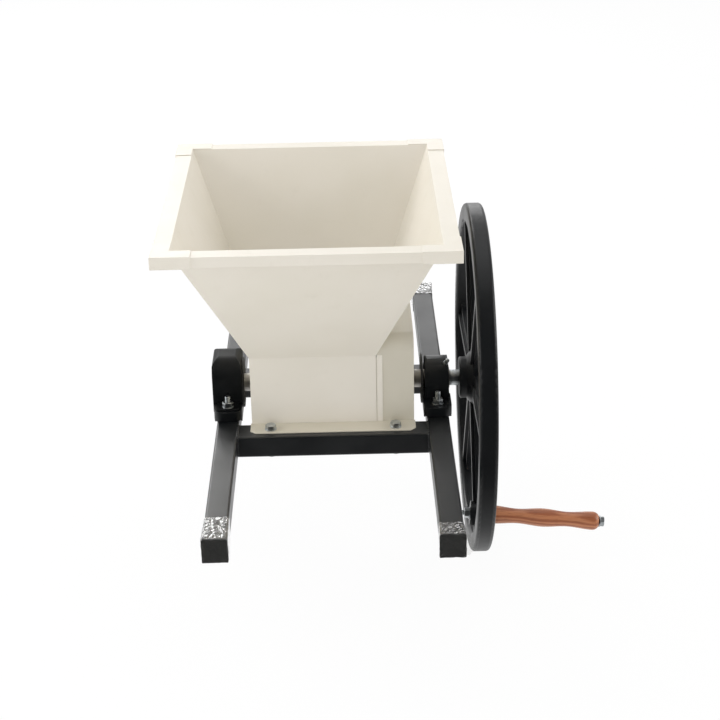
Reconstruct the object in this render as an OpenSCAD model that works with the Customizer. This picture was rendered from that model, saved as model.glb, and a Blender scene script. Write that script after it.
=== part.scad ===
// Hand-cranked fruit crusher that lies across a vat.
// Millimetres. X runs along the shaft towards the flywheel, Y runs along the rails away
// from the front, Z is up. The origin lies under the shaft, midway between the rails, on
// the plane of the rails' undersides.

/* [Frame] */
// Side of the square rail tube
rail_w = 30; // [26:1:34]
// Distance between the middles of the two rails
rail_spacing = 288; // [284:1:310]
// Length of tube in front of the shaft
rail_front = 372; // [260:1:450]
// Length of tube behind the shaft
rail_rear = 414; // [260:1:460]
// Wall of the rails and of the cross tubes
tube_wall = 2; // [1.5:0.1:3]
// Outer corner radius of the tubes
tube_corner = 3; // [2.2:0.1:4]
// Depth of a cross tube, front to back
cross_d = 40; // [36:1:50]
// How far an end cap stands proud of the tube on each side
cap_proud = 1; // [0.5:0.1:2]
// Thickness of an end cap's flat rim
cap_rim = 2.4; // [1.5:0.1:4]
// Height of the shallow pyramid on an end cap
cap_peak = 1.6; // [0.6:0.1:4]
// Depth of an end cap's plug inside the tube
cap_plug = 18; // [10:1:30]

/* [Housing] */
// Width of the crusher housing
housing_w = 221; // [215:1:226]
// Depth of the crusher housing, which fills the space between the cross tubes
housing_d = 142; // [134:1:156]
// Thickness of the sheet of housing and hopper
sheet = 1.5; // [1:0.1:2.5]
// Height of the seam where the chamber cover laps over the front plate
seam_h = 117; // [105:1:122]
// Length of the hidden lap behind that seam
seam_lap = 9; // [4:1:11]
// Height of the flat top of the chamber cover
cover_h = 155; // [150:1:170]
// Outer bend radius of the chamber cover
cover_r = 21; // [10:1:28]
// Width of the flanges that lie on the cross tubes
flange_w = 224; // [222:1:230]
// Depth of those flanges
flange_d = 29.5; // [26:0.5:34]
// Chamfer on the outer corners of the flanges
flange_chamfer = 7; // [3:1:12]
// Distance between the two bolts in a flange
flange_bolt_span = 169; // [150:1:190]
// Distance of the flange bolts from the housing
flange_bolt_out = 18; // [14:0.5:21]

/* [Hopper] */
// Height of the rim above the rails' undersides
hopper_h = 335; // [300:1:380]
// Height of the bend between funnel and throat
kink_h = 130; // [128:1:140]
// Width of the throat inside
throat_w = 167; // [150:1:172]
// Width of the mouth inside
mouth_w = 335; // [300:1:338]
// Depth of the mouth inside
mouth_d = 400; // [340:1:440]
// Width of the flat strip round the mouth
rim_strip = 22; // [18:1:24]
// Height of the turned-down lip of the rim
rim_lip = 14; // [8:1:20]
// Length of each leg of a rim corner cap
corner_leg = 50; // [30:1:70]
// Thickness of a rim corner cap
corner_t = 1.2; // [0.8:0.1:2]
// Width of the weld flange beside the throat's front panel
weld_flange = 8.5; // [6:0.5:12]
// Width of the groove between that flange and the panel
seam_gap = 0.9; // [0.3:0.1:1.5]

/* [Bearing blocks] */
// Height of the shaft above the block's foot
axis_h = 30.2; // [30.2:0.1:34]
// Length of the block's foot
foot_len = 127; // [122:1:140]
// Width of the block's foot
foot_w = 38; // [36:1:40]
// Thickness of the block's foot
foot_t = 14; // [12:0.5:15]
// Distance between the two foot bolts
foot_span = 95; // [94:0.5:100]
// Outer radius of the block's ring
block_r = 31.8; // [29:0.1:33]
// Width of the block's ring
block_ring_w = 33; // [22:0.5:34]
// Rounding of the ring's shoulders
block_round = 7; // [3:0.5:8]
// Depth of the skirts that hang over the rail's sides
skirt_h = 6; // [4:0.5:9]
// Outer diameter of the bearing
bearing_od = 47; // [44:1:50]
// Inner diameter of the bearing's outer ring
outer_ring_id = 38; // [37:0.5:39]
// Width of the bearing's outer ring
outer_ring_w = 14; // [12:1:18]
// Outer diameter of the bearing's inner ring
inner_ring_od = 29; // [28:0.5:30]
// Inner ring's reach from the middle of the block, towards the housing
ring_in = 12.7; // [11:0.1:14]
// Inner ring's reach on the side of its set screws
ring_out = 18.3; // [16:0.1:19.5]
// Diameter of a bearing ball
ball_d = 8; // [7:0.1:8.4]
// Number of balls in a bearing
ball_n = 8; // [6:1:9]
// Wall of the bearing guard
guard_wall = 2; // [1.5:0.1:3]
// Half depth of the bearing guard
guard_half = 34; // [34:0.5:36]
// Height of the guard above the shaft
guard_rise = 45.5; // [44:0.5:60]
// Bend radius at the top of the guard, front and rear
guard_r = 25; // [12:1:30]
// Bend radius at the top of the guard, left and right
guard_round = 15; // [6:0.5:16]

/* [Shaft and drum] */
// Shaft diameter between the bearings
shaft_d = 25; // [22:0.5:28]
// Shaft diameter in the bearings and in the flywheel
journal_d = 17; // [15:0.5:18]
// Diameter of the drum tube
drum_d = 89; // [80:1:92]
// Wall of the drum tube
drum_wall = 4; // [3:0.5:5]
// Length of the drum
drum_len = 208; // [196:1:212]
// Number of toothed bars round the drum
bar_n = 6; // [4:1:8]
// Thickness of a toothed bar
bar_t = 5; // [3:0.5:7]
// Height of a bar's ridge above the drum tube
ridge_h = 1.5; // [0.5:0.5:3]
// Height of the teeth above the drum tube
tooth_h = 14; // [8:0.5:15]
// Width of a tooth at its root
tooth_root = 9; // [7:0.5:10]
// Width of a tooth at its tip
tooth_tip = 4; // [2:0.5:6]
// Distance from tooth to tooth
tooth_pitch = 20; // [19:0.5:24]
// Number of teeth on a bar
tooth_n = 10; // [6:1:10]
// Width of a tooth of the fixed comb
comb_tooth = 7; // [4:0.5:8]
// Thickness of the comb's teeth
comb_t = 8; // [5:0.5:12]
// Clearance between the comb's teeth and the ridge of a bar
comb_gap = 2; // [1:0.5:4]
// Diameter of the slinger discs beside the bearing blocks
slinger_d = 69; // [60:1:80]
// Thickness of a slinger disc
slinger_t = 2; // [1:0.5:3]

/* [Flywheel] */
// Outer radius of the flywheel
wheel_r = 242; // [220:1:250]
// Width of the rim
rim_w = 24; // [20:1:30]
// Depth of the rim towards the hub
rim_depth = 26; // [18:1:32]
// Corner radius of the rim
rim_round = 5; // [2:0.5:8]
// Distance from the right bearing block to the wheel's middle plane
wheel_out = 54.5; // [54:0.5:70]
// Number of spokes
spoke_n = 6; // [4:1:8]
// Thickness of a spoke's flat web
spoke_web = 7; // [5:0.5:10]
// Width of a spoke half way out
spoke_w = 24; // [18:1:30]
// Thickness of a spoke's rib
rib_t = 16; // [12:1:20]
// Width of a spoke's rib
rib_w = 8; // [5:0.5:12]
// Diameter of the hub
hub_d = 58; // [50:1:70]
// Length of the hub
hub_len = 45; // [36:1:48]
// Height of the cone by which the hub runs out into the spokes
hub_cone = 8; // [4:1:12]
// Outer diameter of the sleeve between bearing and hub
spacer_d = 22; // [20:0.5:27]

/* [Handle] */
// Crank radius, from the shaft to the handle's root
crank_r = 190; // [150:1:196]
// Where the handle stands at rest, from the back of the machine over the top
crank_angle = 240; // [0:5:355]
// Outward lean of the handle
handle_lean = 5; // [0:0.5:8]
// Length of the wooden grip
grip_len = 152; // [110:1:170]
// Largest diameter of the wooden grip
grip_d = 25.4; // [22:0.2:34]
// Diameter of the handle bolt
handle_bolt_d = 8; // [6:0.5:10]
// Diameter of the boss that the bolt goes through
boss_d = 34; // [26:1:40]
// Length of that boss
boss_len = 25; // [20:1:32]

/* [Fasteners] */
// Diameter of the bolts that hold the bearing blocks
block_bolt_d = 8; // [8:1:10]
// Diameter of the bolts that hold the housing
housing_bolt_d = 8; // [6:1:8]
// Diameter of the screws that hold the comb
comb_bolt_d = 6; // [5:1:6]

/* [Hidden] */
$fn = 64;

cream = "#ebe4d6";
black = "#1d1f21";
cast_black = "#17191b";
zinc = "#b9bdc1";
steel = "#9a9ea2";
wood = "#b5773f";

// Clearance of a hole or seat round what fills it
fit = 0.05;
// Running clearance of a turning fit, on the radius
run = 0.08;
// Clearance between moving and fixed pieces that face each other
gap = 0.3;
// A cut runs this far past the surfaces that it cuts
past = 1;
// Larger than the whole machine
huge = 1200;

rail_x = rail_spacing / 2;
rail_top = rail_w;
axis_z = rail_top + axis_h;
foot_top = rail_top + foot_t;
house_x = housing_w / 2;
house_y = housing_d / 2;
cross_y = house_y + cross_d / 2;
flange_z = rail_top + sheet;

throat_x0 = -house_x + sheet;
throat_x1 = throat_x0 + throat_w;
throat_mid = (throat_x0 + throat_x1) / 2;
funnel_h = hopper_h - kink_h;
side_run = (mouth_w - throat_w) / 2;
front_run = mouth_d / 2 - house_y;
side_lean = atan(side_run / funnel_h);
front_lean = atan(front_run / funnel_h);
side_slant = funnel_h / cos(side_lean);
front_slant = funnel_h / cos(front_lean);
mouth_x = mouth_w / 2;
mouth_y = mouth_d / 2;
rim_x = mouth_x + rim_strip;
rim_y = mouth_y + rim_strip;

tip_r = drum_d / 2 + tooth_h;
ridge_r = drum_d / 2 + ridge_h;
tooth_span = (tooth_n - 1) * tooth_pitch;

wheel_x = rail_x + wheel_out;
hub_in = wheel_x - hub_len / 2;
hub_out = wheel_x + hub_len / 2;
rim_in_r = wheel_r - rim_depth;
race_r = (outer_ring_id + inner_ring_od) / 4;
guard_out = rail_x + foot_w / 2 + guard_wall;
guard_in = rail_x - foot_w / 2;
guard_top = axis_z + guard_rise;
slinger_x = rail_x - foot_w / 2 - gap - slinger_t / 2;

washer_t = 1.6;
deflector_lean = 24;
deflector_reach = 26;
deflector_rise = 50;
deflector_strip = 14;
comb_drop = 15;
bolt_access_d = 2.2 * block_bolt_d;
slot_w = block_bolt_d + 3;
bolt_end = 8;
skirt_t = 2;
skirt_len = 96;
nipple_turn = 25;
nipple_lean = 25;
key_w = 5;
key_len = 30;
end_washer_t = 3;
end_washer_d = 34;
end_bolt_d = 8;
disc_t = 8;
disc_hub_d = 42;
disc_hub_len = 22;
drum_pin_d = 6;
wall_hole_d = shaft_d + 6;
grip_start = boss_len / 2 + washer_t + gap;
grip_end = grip_start + grip_len;

// Rectangle with round corners
module rounded(w, h, r) {
    square([w - 2 * r, h], center = true);
    square([w, h - 2 * r], center = true);
    for (sx = [-1, 1], sy = [-1, 1])
        translate([sx * (w / 2 - r), sy * (h / 2 - r)]) circle(r);
}

// Section of a rectangular tube
module tube_section(w, h) {
    difference() {
        rounded(w, h, tube_corner);
        rounded(w - 2 * tube_wall, h - 2 * tube_wall, tube_corner - tube_wall);
    }
}

// Extrudes a drawing of Y and Z along X, from x0 to x1
module along_x(x0, x1) {
    translate([x0, 0, 0]) rotate([90, 0, 90]) linear_extrude(x1 - x0) children();
}

// Extrudes a drawing of X and Z along Y, from y0 to y1
module along_y(y0, y1) {
    translate([0, y1, 0]) rotate([90, 0, 0]) linear_extrude(y1 - y0) children();
}

// Rod along X
module rod_x(x0, x1, d) {
    translate([x0, 0, 0]) rotate([0, 90, 0]) cylinder(d = d, h = x1 - x0);
}

// Hexagon across its flats
module hexagon(across) {
    circle(d = across / cos(30), $fn = 6);
}

// Hexagon bolt: its head lies on the plane z = 0 and its shank runs down
module hex_bolt(d, len) {
    linear_extrude(0.65 * d) hexagon(1.6 * d);
    translate([0, 0, -len]) cylinder(d = d, h = len + past);
}

// Nut that lies on the plane z = 0
module hex_nut(d) {
    linear_extrude(0.8 * d) difference() {
        hexagon(1.6 * d);
        circle(d = d + 2 * fit);
    }
}

// Washer that lies on the plane z = 0
module washer(d) {
    linear_extrude(washer_t) difference() {
        circle(d = 2 * d);
        circle(d = d + 0.5);
    }
}

// Puts its children at the four bolts of the two bearing blocks
module at_block_bolts() {
    for (sx = [-1, 1], sy = [-1, 1])
        translate([sx * rail_x, sy * foot_span / 2, 0]) children();
}

// Puts its children at the four bolts of the two flanges
module at_flange_bolts() {
    for (sx = [-1, 1], sy = [-1, 1])
        translate([sx * flange_bolt_span / 2, sy * (house_y + flange_bolt_out), 0]) children();
}

// One rail, with the holes for its bearing block's bolts
module rail(side) {
    color(black) difference() {
        along_y(-rail_front, rail_rear)
            translate([side * rail_x, rail_w / 2]) tube_section(rail_w, rail_w);
        at_block_bolts() {
            cylinder(d = block_bolt_d + 1, h = rail_w + past);
            translate([0, 0, -past]) cylinder(d = bolt_access_d, h = tube_wall + 2 * past);
        }
    }
}

module rail_left() {
    rail(-1);
}

module rail_right() {
    rail(1);
}

// One cross tube, set between the rails, with the holes for the flange bolts
module cross_tube(side) {
    inner = rail_x - rail_w / 2;
    color(black) difference() {
        along_x(-inner, inner)
            translate([side * cross_y, rail_w / 2]) tube_section(cross_d, rail_w);
        at_flange_bolts()
            translate([0, 0, -past]) cylinder(d = housing_bolt_d + 1, h = rail_w + 2 * past);
    }
}

module cross_tube_front() {
    cross_tube(-1);
}

module cross_tube_rear() {
    cross_tube(1);
}

// Moulded plug for the end of a tube, drawn with its face towards +Z
module end_cap() {
    outer = rail_w + 2 * cap_proud;
    inner = rail_w - 2 * tube_wall - 2 * fit;
    plug = inner - 3;
    linear_extrude(cap_rim) rounded(outer, outer, tube_corner);
    translate([0, 0, cap_rim]) rotate(45)
        cylinder(d1 = (outer - 4) * sqrt(2), d2 = 3, h = cap_peak, $fn = 4);
    translate([0, 0, -cap_plug]) linear_extrude(cap_plug) difference() {
        rounded(plug, plug, 2);
        rounded(plug - 4, plug - 4, 1.5);
    }
    for (k = [1 : 3])
        translate([0, 0, -k * cap_plug / 4]) linear_extrude(1.2) difference() {
            rounded(inner, inner, 1);
            rounded(plug - 2, plug - 2, 1.5);
        }
}

module rail_end_caps() {
    color(black) for (sx = [-1, 1]) {
        translate([sx * rail_x, -rail_front, rail_w / 2]) rotate([90, 0, 0]) end_cap();
        translate([sx * rail_x, rail_rear, rail_w / 2]) rotate([-90, 0, 0]) end_cap();
    }
}

// Plate with a flange that is folded out over a cross tube, drawn for the front
module flanged_plate() {
    difference() {
        union() {
            translate([-house_x, -house_y, 0]) cube([housing_w, sheet, seam_h + seam_lap]);
            translate([0, -house_y, rail_top]) linear_extrude(sheet) polygon([
                [-flange_w / 2, 0], [-flange_w / 2, -flange_d + flange_chamfer],
                [-flange_w / 2 + flange_chamfer, -flange_d],
                [flange_w / 2 - flange_chamfer, -flange_d],
                [flange_w / 2, -flange_d + flange_chamfer], [flange_w / 2, 0]]);
        }
        at_flange_bolts() translate([0, 0, rail_top - past])
            cylinder(d = housing_bolt_d + 1, h = sheet + 2 * past);
    }
}

module housing_front_plate() {
    color(cream) flanged_plate();
}

// The rear plate also carries the comb's screws
module housing_rear_plate() {
    color(cream) difference() {
        mirror([0, 1, 0]) flanged_plate();
        at_comb_screws() translate([0, 0, -2 * sheet]) cylinder(d = comb_bolt_d + 0.5, h = 4 * sheet);
    }
}

// Side plate of the housing, with the hole for the shaft
module side_plate(x0, x1) {
    color(cream) difference() {
        along_x(x0, x1) children();
        translate([0, 0, axis_z]) rod_x(x0 - past, x1 + past, wall_hole_d);
    }
}

module housing_side_left() {
    top = kink_h - sheet * sin(side_lean);
    side_plate(-house_x, -house_x + sheet)
        translate([-house_y + sheet + fit, 0]) square([housing_d - 2 * sheet - 2 * fit, top]);
}

// Outline of the covered chamber, seen along X
module chamber_outline(inset) {
    half = house_y + sheet - inset;
    r = cover_r - inset;
    top = cover_h - inset;
    translate([-half, 0]) square([2 * half, top - r]);
    translate([-half + r, 0]) square([2 * half - 2 * r, top]);
    for (s = [-1, 1]) translate([s * (half - r), top - r]) circle(r);
}

module housing_side_right() {
    side_plate(house_x - sheet, house_x) intersection() {
        chamber_outline(sheet + fit);
        translate([-house_y + sheet + fit, 0]) square([housing_d - 2 * sheet - 2 * fit, cover_h]);
    }
}

// Half space outside the inner face of the hopper's right wall
module beyond_right_wall(off) {
    translate([throat_x1, 0, kink_h]) rotate([0, side_lean, 0])
        translate([off, -huge / 2, -huge / 2]) cube([huge, huge, huge]);
}

// Rolled cover over the right-hand end of the drum, lapped over both plates
module chamber_cover() {
    color(cream) difference() {
        along_x(throat_x1 + sheet + weld_flange + fit, house_x) difference() {
            chamber_outline(0);
            chamber_outline(sheet);
            translate([-house_y - sheet - past, -past])
                square([housing_d + 2 * sheet + 2 * past, seam_h + past]);
        }
        difference() {
            translate([0, -huge / 2, kink_h]) cube([huge / 2, huge, huge / 2]);
            beyond_right_wall(sheet + fit);
        }
    }
    color(cream) difference() {
        along_x(throat_x1 + sheet + seam_gap, throat_x1 + sheet + weld_flange + 2 * fit)
            intersection() {
                difference() {
                    chamber_outline(0);
                    chamber_outline(sheet);
                }
                translate([-huge / 2, kink_h + fit]) square([huge, huge]);
            }
        difference() {
            translate([0, -huge / 2, kink_h]) cube([huge / 2, huge, huge / 2]);
            beyond_right_wall(sheet + fit);
        }
    }
}

// Funnel panel with rim strip and lips, drawn for the front. The throat's part lies on
// the outer face of the front plate.
module front_panel() {
    low_half = throat_w / 2 + sheet;
    top_half = mouth_x + sheet / cos(side_lean);
    throat_y = -house_y - sheet;
    under_y = -mouth_y - sheet / cos(front_lean) + sheet * tan(front_lean);
    under_z = hopper_h - sheet;
    translate([throat_mid, 0, 0]) {
        intersection() {
            along_x(-rim_x, rim_x) polygon([[-house_y, flange_z], [-house_y, kink_h],
                [-mouth_y, hopper_h], [-rim_y, hopper_h], [-rim_y, hopper_h - rim_lip],
                [-rim_y + sheet, hopper_h - rim_lip], [-rim_y + sheet, under_z],
                [under_y, under_z], [throat_y, kink_h - sheet * tan(front_lean / 2)],
                [throat_y, flange_z]]);
            union() {
                along_y(-huge / 2, past) polygon([[-low_half, 0], [low_half, 0],
                    [low_half, kink_h], [top_half, hopper_h],
                    [top_half, huge], [-top_half, huge], [-top_half, hopper_h],
                    [-low_half, kink_h]]);
                translate([-rim_x - past, -huge / 2, 0])
                    cube([2 * rim_x + 2 * past, huge / 2 + under_y - fit, huge]);
            }
        }
        for (s = [0, 1]) mirror([s, 0, 0]) translate([-rim_x, -rim_y + sheet / 2, hopper_h - rim_lip])
            cube([sheet, rim_strip - sheet / 2, rim_lip - sheet / 2]);
    }
}

module hopper_front_panel() {
    color(cream) front_panel();
}

// The rear panel is cleared round the heads of the comb's screws
module hopper_rear_panel() {
    color(cream) difference() {
        mirror([0, 1, 0]) front_panel();
        at_comb_screws() translate([0, 0, -sheet]) cylinder(d = 2.6 * comb_bolt_d, h = 4 * sheet);
    }
}

// Half spaces outside the inner faces of the front and rear panels
module beyond_end_panels() {
    for (s = [0, 1]) mirror([0, s, 0])
        translate([0, -house_y + fit, kink_h]) rotate([front_lean, 0, 0])
            translate([-huge / 2, -huge, -huge / 2]) cube([huge, huge, huge]);
}

// Side wall of the funnel with rim strip and lip, drawn for the left with the inner face
// of its foot at x = 0
module side_wall() {
    rim_at = -side_run - rim_strip;
    strip_half = mouth_y - fit;
    difference() {
        translate([0, 0, kink_h]) rotate([0, -side_lean, 0])
            translate([-sheet, -mouth_y, 0]) cube([sheet, mouth_d, side_slant]);
        beyond_end_panels();
    }
    translate([rim_at, -strip_half, hopper_h - sheet]) cube([rim_strip, 2 * strip_half, sheet]);
    translate([rim_at, -strip_half, hopper_h - rim_lip]) cube([sheet, 2 * strip_half, rim_lip]);
}

module hopper_left_wall() {
    color(cream) translate([throat_x0, 0, 0]) side_wall();
}

// The right wall goes on down as the throat's right wall, cut out round the drum
module hopper_right_wall() {
    color(cream) {
        translate([throat_x1, 0, 0]) mirror([1, 0, 0]) side_wall();
        difference() {
            translate([throat_x1, -house_y + sheet + fit, axis_z + comb_t / 2 + gap])
                cube([sheet, housing_d - 2 * sheet - 2 * fit, kink_h - axis_z - comb_t / 2 - gap]);
            translate([0, 0, axis_z]) rod_x(throat_x1 - past, throat_x1 + sheet + past, 2 * tip_r + 6);
        }
        difference() {
            translate([throat_x1, -house_y - sheet, seam_h + seam_lap + fit])
                cube([sheet, housing_d + 2 * sheet, kink_h - seam_h - seam_lap - fit]);
            translate([throat_x1 - past, -house_y - sheet - past, 0])
                cube([sheet + past + fit, sheet + past + fit, huge]);
            translate([throat_x1 - past, house_y - fit, 0])
                cube([sheet + past + fit, sheet + past + fit, huge]);
        }
    }
}

// Welded strips that stiffen the plates beside the throat's right edge
module throat_edge_strips() {
    color(cream) for (s = [0, 1]) mirror([0, s, 0])
        translate([throat_x1 + sheet + seam_gap, -house_y - sheet, flange_z])
            cube([weld_flange - seam_gap, sheet, kink_h - flange_z]);
}

// Folded cap over a corner of the rim, drawn for the corner at +X and +Y
module corner_cap() {
    leg = corner_leg;
    low = hopper_h - rim_lip - corner_t;
    translate([rim_x + corner_t - leg, mouth_y, hopper_h]) cube([leg, rim_strip + corner_t, corner_t]);
    translate([mouth_x, rim_y + corner_t - leg, hopper_h]) cube([rim_strip + corner_t, leg, corner_t]);
    translate([rim_x + corner_t - leg, rim_y, low]) cube([leg, corner_t, hopper_h - low + corner_t]);
    translate([rim_x, rim_y + corner_t - leg, low]) cube([corner_t, leg, hopper_h - low + corner_t]);
}

module rim_corner_caps() {
    color(cream) translate([throat_mid, 0, 0])
        for (sx = [0, 1], sy = [0, 1]) mirror([sx, 0, 0]) mirror([0, sy, 0]) corner_cap();
}

// Slanted strip that keeps fruit from dropping past the front of the drum
module feed_deflector() {
    wall_y = -house_y + sheet + fit;
    half = throat_w / 2 - gap;
    a = deflector_lean;
    top = axis_z + deflector_rise;
    tip_y = wall_y + deflector_reach * sin(a);
    tip_z = top - deflector_reach * cos(a);
    color(cream) translate([throat_mid, 0, 0]) along_x(-half, half) polygon([
        [wall_y, top + deflector_strip], [wall_y, top], [tip_y, tip_z],
        [tip_y + sheet * cos(a), tip_z + sheet * sin(a)],
        [wall_y + sheet, top + sheet * tan(a / 2)], [wall_y + sheet, top + deflector_strip]]);
}

// Places of the four screws of the comb, drawn pointing out through the rear plate
comb_z = axis_z - comb_drop;
comb_back = house_y - sheet - fit;
module at_comb_screws() {
    for (k = [-1.5, -0.5, 0.5, 1.5])
        translate([k * 2.5 * tooth_pitch, house_y, comb_z]) rotate([-90, 0, 0]) children();
}

// Fixed comb: its teeth stand between the teeth of the drum
module breaker_comb() {
    plate_y = tip_r + 3;
    tooth_y = ridge_r + comb_gap;
    half = tooth_span / 2 + tooth_pitch / 2 + comb_tooth / 2;
    color(steel) difference() {
        union() {
            translate([-half, plate_y, comb_z - 8])
                cube([2 * half, comb_back - plate_y, axis_z + comb_t / 2 - comb_z + 8]);
            for (k = [0 : tooth_n])
                translate([-tooth_span / 2 - tooth_pitch / 2 + k * tooth_pitch, 0,
                    axis_z - comb_t / 2])
                    linear_extrude(comb_t) polygon([[-comb_tooth / 2, plate_y + past],
                        [-comb_tooth / 2, tooth_y + 5], [-comb_tooth / 4, tooth_y],
                        [comb_tooth / 4, tooth_y], [comb_tooth / 2, tooth_y + 5],
                        [comb_tooth / 2, plate_y + past]]);
        }
        at_comb_screws() translate([0, 0, -2 * sheet - 10]) cylinder(d = comb_bolt_d + 2 * fit, h = 20);
    }
}

module comb_screws() {
    depth = house_y - tip_r - 4;
    color(zinc) at_comb_screws() hex_bolt(comb_bolt_d, depth);
}

housing_bolt_len = rail_w + sheet + 2 * washer_t + housing_bolt_d;
module housing_bolts() {
    color(zinc) at_flange_bolts() translate([0, 0, flange_z + washer_t])
        hex_bolt(housing_bolt_d, housing_bolt_len);
}

module housing_washers() {
    color(zinc) at_flange_bolts() {
        translate([0, 0, flange_z]) washer(housing_bolt_d);
        translate([0, 0, -washer_t]) washer(housing_bolt_d);
    }
}

module housing_nuts() {
    color(zinc) at_flange_bolts() translate([0, 0, -washer_t]) mirror([0, 0, 1]) hex_nut(housing_bolt_d);
}

// Arch with rounded shoulders, from low up to top
module arch(half, r, low, top) {
    translate([-half, low]) square([2 * half, top - r - low]);
    translate([-half + r, low]) square([2 * half - 2 * r, top - low]);
    for (s = [-1, 1]) translate([s * (half - r), top - r]) circle(r);
}

// Cast block with its foot, ring, skirts and bolt slots, drawn about x = 0
module bearing_block() {
    color(cast_black) difference() {
        union() {
            translate([0, 0, rail_top]) linear_extrude(foot_t) rounded(foot_w, foot_len, 12);
            for (s = [-1, 1])
                translate([s * (foot_w - skirt_t) / 2 - skirt_t / 2, -skirt_len / 2, rail_top - skirt_h])
                    cube([skirt_t, skirt_len, skirt_h + 1]);
            intersection() {
                along_x(-foot_w, foot_w) {
                    translate([0, axis_z]) circle(block_r);
                    translate([-block_r, rail_top]) square([2 * block_r, axis_h]);
                }
                along_y(-foot_len, foot_len)
                    arch(block_ring_w / 2, block_round, rail_top + 1, axis_z + block_r + 0.5);
            }
        }
        translate([0, 0, axis_z]) rod_x(-foot_w, foot_w, bearing_od + 2 * fit);
        for (s = [-1, 1]) translate([0, s * foot_span / 2, rail_top - past])
            linear_extrude(foot_t + 2 * past) rounded(slot_w, slot_w + 4, slot_w / 2 - 0.01);
        for (s = [-1, 1]) translate([0, s * foot_span / 2, foot_top])
            cylinder(d = 2 * block_bolt_d + 1, h = axis_h);
    }
}

module bearing_block_left() {
    translate([-rail_x, 0, 0]) bearing_block();
}

// Puts its children at the seat of the right block's nipple, on the shoulder towards the
// flywheel and turned to the front
module at_right_nipple() {
    translate([rail_x + block_ring_w / 2 - block_round, 0, axis_z]) rotate([nipple_turn, 0, 0])
        translate([block_round * sin(nipple_lean), 0, block_r - block_round * (1 - cos(nipple_lean))])
            rotate([0, nipple_lean, 0]) translate([0, 0, -1]) children();
}

// The right block's shoulder is spot-faced for its nipple
module bearing_block_right() {
    difference() {
        translate([rail_x, 0, 0]) bearing_block();
        at_right_nipple() cylinder(d = 10, h = 10);
    }
}

// Ring of balls in a plane across X, as one revolved groove
module ball_groove() {
    rotate([0, 90, 0]) rotate_extrude() translate([race_r, 0]) circle(ball_d / 2 + fit);
}

module bearing_outer_rings() {
    color(steel) for (s = [-1, 1]) translate([s * rail_x, 0, axis_z]) difference() {
        rod_x(-outer_ring_w / 2, outer_ring_w / 2, bearing_od);
        rod_x(-outer_ring_w, outer_ring_w, outer_ring_id);
        ball_groove();
    }
}

// The balls of one bearing, drawn about x = 0
module balls() {
    for (k = [0 : ball_n - 1]) translate([0, 0, axis_z])
        rotate([360 / ball_n * k, 0, 0]) translate([0, race_r, 0]) sphere(ball_d / 2);
}

module bearing_balls_left() {
    color(zinc) translate([-rail_x, 0, 0]) balls();
}

module bearing_balls_right() {
    color(zinc) translate([rail_x, 0, 0]) balls();
}

// Moulded cage that keeps the balls apart
module ball_cage() {
    difference() {
        translate([0, 0, axis_z]) rod_x(-outer_ring_w / 2 + 2, outer_ring_w / 2 - 2, outer_ring_id - 1.4);
        translate([0, 0, axis_z]) rod_x(-outer_ring_w, outer_ring_w, inner_ring_od + 1.4);
        for (k = [0 : ball_n - 1]) translate([0, 0, axis_z]) rotate([360 / ball_n * k, 0, 0])
            translate([0, race_r - 5, 0]) rotate([-90, 0, 0]) cylinder(d = ball_d + 2 * run, h = 10);
    }
}

module bearing_cage_left() {
    color(black) translate([-rail_x, 0, 0]) ball_cage();
}

module bearing_cage_right() {
    color(black) translate([rail_x, 0, 0]) ball_cage();
}

module bearing_shields() {
    color(black) for (s = [-1, 1], e = [-1, 1])
        translate([s * rail_x + e * (outer_ring_w / 2 - 1), 0, axis_z]) difference() {
            rod_x(-0.5, 0.5, outer_ring_id - 2 * fit);
            rod_x(-past, past, inner_ring_od + 2 * gap);
        }
}

// Place of a set screw: half way along the collar outside the outer ring
screw_off = (outer_ring_w / 2 + ring_out) / 2 + 0.5;
module at_set_screws() {
    for (s = [-1, 1], a = [0, 120]) translate([s * (rail_x + screw_off), 0, axis_z])
        rotate([a, 0, 0]) translate([0, 0, journal_d / 2 + fit]) children();
}

module bearing_inner_rings() {
    color(steel) for (s = [0, 1]) mirror([s, 0, 0]) translate([0, 0, axis_z]) difference() {
        rod_x(rail_x - ring_in, rail_x + ring_out, inner_ring_od);
        rod_x(rail_x - ring_in - past, rail_x + ring_out + past, journal_d + 2 * fit);
        translate([rail_x, 0, 0]) ball_groove();
        for (a = [0, 120]) translate([rail_x + screw_off, 0, 0]) rotate([a, 0, 0])
            cylinder(d = 5 + 2 * fit, h = inner_ring_od);
    }
}

module bearing_set_screws() {
    color(black) at_set_screws() difference() {
        cylinder(d = 5, h = (inner_ring_od - journal_d) / 2 - 0.5);
        translate([0, 0, 2.5]) linear_extrude(5) hexagon(2.5);
    }
}

// Grease nipple, drawn on the plane z = 0
module nipple() {
    linear_extrude(3) hexagon(7);
    cylinder(d = 5, h = 6.5);
    translate([0, 0, 7]) sphere(2.9);
}

module grease_nipples() {
    color(zinc) {
        translate([-rail_x, 0, axis_z + block_r]) nipple();
        at_right_nipple() nipple();
    }
}

guard_lift = guard_wall;
block_bolt_len = tube_wall + foot_t + guard_lift + washer_t + 0.8 * block_bolt_d + bolt_end;

// The bolts' heads lie inside the rails, under the top wall
module block_bolts() {
    color(zinc) at_block_bolts() translate([0, 0, rail_w - tube_wall]) mirror([0, 0, 1])
        hex_bolt(block_bolt_d, block_bolt_len);
}

// Height of the seat under a block bolt's washer: the guard's ears lie under it on the left
function bolt_seat(side) = foot_top + (side < 0 ? guard_lift : 0);

module block_washers() {
    color(zinc) for (sx = [-1, 1], sy = [-1, 1])
        translate([sx * rail_x, sy * foot_span / 2, bolt_seat(sx)]) washer(block_bolt_d);
}

module block_nuts() {
    color(zinc) for (sx = [-1, 1], sy = [-1, 1])
        translate([sx * rail_x, sy * foot_span / 2, bolt_seat(sx) + washer_t]) hex_nut(block_bolt_d);
}

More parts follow.
